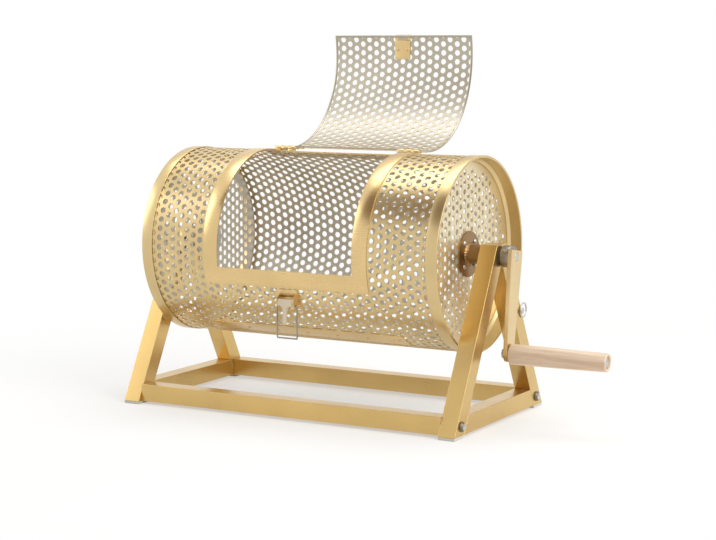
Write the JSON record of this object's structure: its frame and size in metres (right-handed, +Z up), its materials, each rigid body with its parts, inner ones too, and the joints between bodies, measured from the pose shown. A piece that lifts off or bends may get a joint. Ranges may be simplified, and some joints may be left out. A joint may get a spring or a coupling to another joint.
{
  "type": "raffle drum with crank",
  "caption": "Perforated sheet drum with a hinged door and wire-loop latch, turned by a crank on a tube stand.",
  "frame": {"origin": "middle of the whole footprint, grip and open door included, on the table", "axes": "+X along the drum shaft towards the crank, -Y is the door and latch side, +Z is up"},
  "size_m": [0.7174, 0.36, 0.5322],
  "materials": {
    "plated_sheet": "bright plated perforated sheet",
    "plated_strip": "bright plated strip",
    "plated_tube": "satin plated square tube",
    "zinc": "zinc plated",
    "wood": "plain turned, unvarnished",
    "bush_plastic": "dark matte",
    "foot_plastic": "light grey matte"
  },
  "bodies": {
    "stand": {"bush_left": "bush_plastic", "bush_right": "bush_plastic", "foot_back_left": "foot_plastic", "foot_back_right": "foot_plastic", "foot_front_left": "foot_plastic", "foot_front_right": "foot_plastic", "keeper_ring": "zinc", "keeper_screw": "zinc", "leg_back_left": "plated_tube", "leg_back_right": "plated_tube", "leg_front_left": "plated_tube", "leg_front_right": "plated_tube", "rail_back": "plated_tube", "rail_end_plates": "zinc", "rail_front": "plated_tube", "side_rail_left": "plated_tube", "side_rail_right": "plated_tube", "stand_bolts": "zinc"},
    "drum": {"collar_left": "zinc", "collar_right": "zinc", "crank_arm": "plated_tube", "drum_hinge_left": "plated_strip", "drum_hinge_right": "plated_strip", "drum_hinge_rivets": "zinc", "drum_shell": "plated_sheet", "end_cap_left": "plated_sheet", "end_cap_right": "plated_sheet", "grip_bolt": "zinc", "grip_washer": "zinc", "hinge_pin_left": "zinc", "hinge_pin_right": "zinc", "hub_left": "plated_strip", "hub_right": "plated_strip", "hub_rivets": "zinc", "inner_plate_left": "plated_strip", "inner_plate_right": "plated_strip", "latch_base": "zinc", "latch_pin": "zinc", "latch_rivets": "zinc", "opening_frame": "plated_strip", "seam_rivets": "zinc", "seam_strip": "plated_strip", "shaft_left": "zinc", "shaft_right": "zinc"},
    "door": {"door_panel": "plated_sheet", "door_hinge_left": "plated_strip", "door_hinge_right": "plated_strip", "door_hinge_rivets": "zinc", "door_catch": "plated_strip", "catch_plate": "plated_strip", "catch_rivets": "zinc"},
    "latch_lever": {"latch_lever": "zinc"},
    "latch_loop": {"latch_loop": "zinc"},
    "grip": {"grip": "wood"}
  },
  "joints": [
    {"name": "drum_spin", "type": "hinge", "parent": "stand", "child": "drum", "pos_m": [-0.0728, -0.03803, 0.231], "axis": [1, 0, 0], "continuous": true},
    {"name": "door_hinge", "type": "hinge", "parent": "drum", "child": "door", "pos_m": [-0.0728, 0.00081, 0.36644], "axis": [1, 0, 0], "range_deg": [0, 180]},
    {"name": "latch_lever_hinge", "type": "hinge", "parent": "drum", "child": "latch_lever", "pos_m": [-0.0728, -0.16589, 0.16697], "axis": [-1, 0, 0], "range_deg": [-20, 130]},
    {"name": "latch_loop_hinge", "type": "hinge", "parent": "drum", "child": "latch_loop", "pos_m": [-0.0728, -0.16211, 0.15992], "axis": [-1, 0, 0], "range_deg": [-20, 155]},
    {"name": "grip_spin", "type": "hinge", "parent": "drum", "child": "grip", "pos_m": [0.2171, -0.0564, 0.10028], "axis": [1, 0, 0], "continuous": true}
  ]
}
